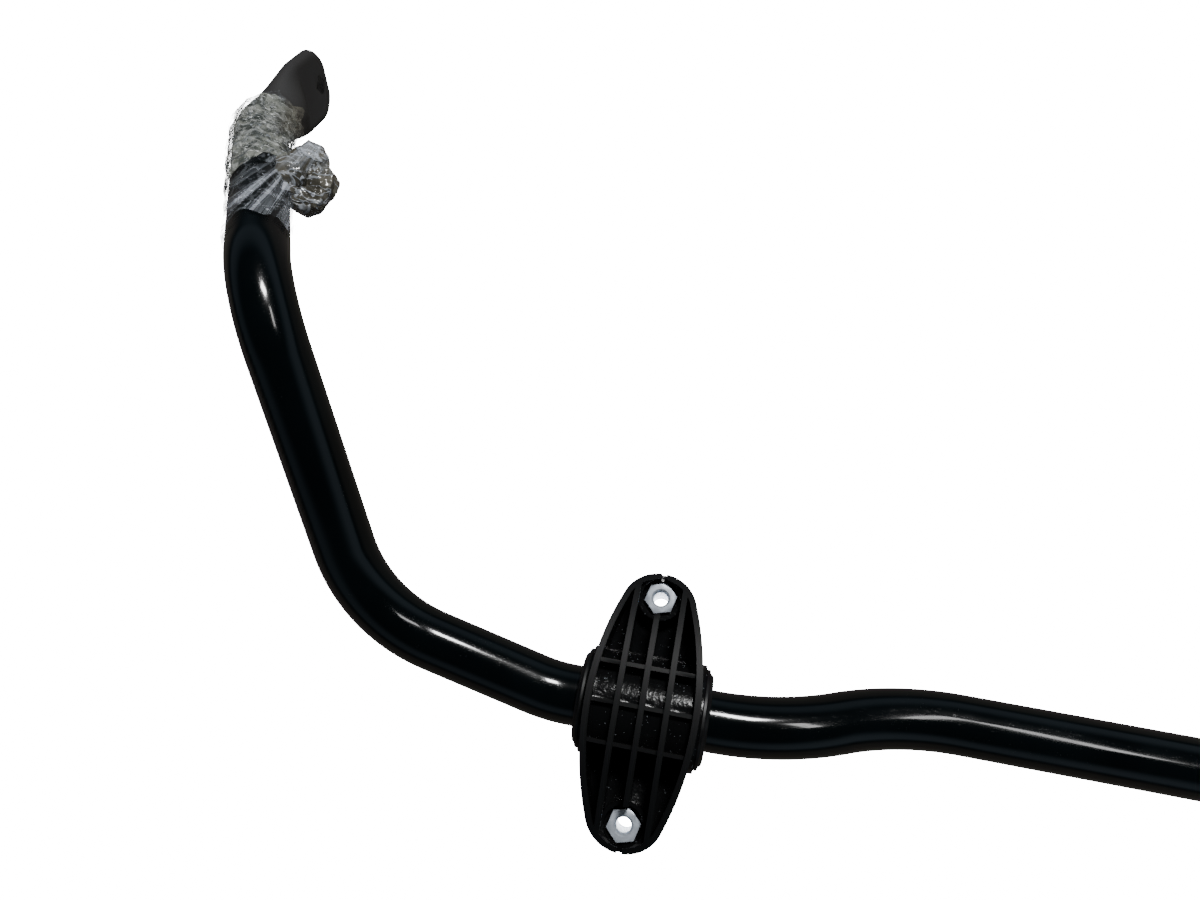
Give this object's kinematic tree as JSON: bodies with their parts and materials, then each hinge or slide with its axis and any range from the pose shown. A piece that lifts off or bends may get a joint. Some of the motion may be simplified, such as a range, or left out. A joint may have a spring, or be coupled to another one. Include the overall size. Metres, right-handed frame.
{
  "type": "automotive sway bar",
  "caption": "Bent tubular vehicle stabiliser bar with flattened drilled ends, rubber-bushed ribbed bolt-down clamps and protective film round one arm.",
  "frame": {"origin": "centre of the four clamp bolt holes, on the face the clamps bolt to", "axes": "+X along the bar to its right-hand end, +Y from the bar towards the ends of the arms, +Z away from the mounting face through the clamps"},
  "size_m": [1.221, 0.3891, 0.1365],
  "materials": {
    "bar_paint": "gloss black paint",
    "clamp_plastic": "satin moulded",
    "bush_rubber": "matte",
    "insert_steel": "plain",
    "zinc_steel": "zinc plated",
    "bubble_film": "clear, hazy",
    "clear_film": "clear, crinkled"
  },
  "bodies": {
    "bar": {"stabilizer_bar": "bar_paint", "bubble_wrap": "bubble_film", "stretch_film": "clear_film", "film_knot": "clear_film"},
    "left_bracket": {"left_ribbed_clamp": "clamp_plastic", "left_base_clamp": "clamp_plastic", "left_bush_upper": "bush_rubber", "left_bush_lower": "bush_rubber", "left_insert_upper": "insert_steel", "left_insert_lower": "insert_steel", "left_sleeve_front": "zinc_steel", "left_sleeve_rear": "zinc_steel", "left_nut_front": "zinc_steel", "left_nut_rear": "zinc_steel"},
    "right_bracket": {"right_ribbed_clamp": "clamp_plastic", "right_base_clamp": "clamp_plastic", "right_bush_upper": "bush_rubber", "right_bush_lower": "bush_rubber", "right_insert_upper": "insert_steel", "right_insert_lower": "insert_steel", "right_sleeve_front": "zinc_steel", "right_sleeve_rear": "zinc_steel", "right_nut_front": "zinc_steel", "right_nut_rear": "zinc_steel"}
  },
  "joints": [
    {"name": "left_bush_turn", "type": "hinge", "parent": "bar", "child": "left_bracket", "pos_m": [-0.35, 0, 0.028], "axis": [1, 0, 0], "range_deg": [-20, 20], "stiffness_Nm_per_rad": 40},
    {"name": "right_bush_turn", "type": "hinge", "parent": "bar", "child": "right_bracket", "pos_m": [0.35, 0, 0.028], "axis": [1, 0, 0], "range_deg": [-20, 20], "stiffness_Nm_per_rad": 40}
  ]
}
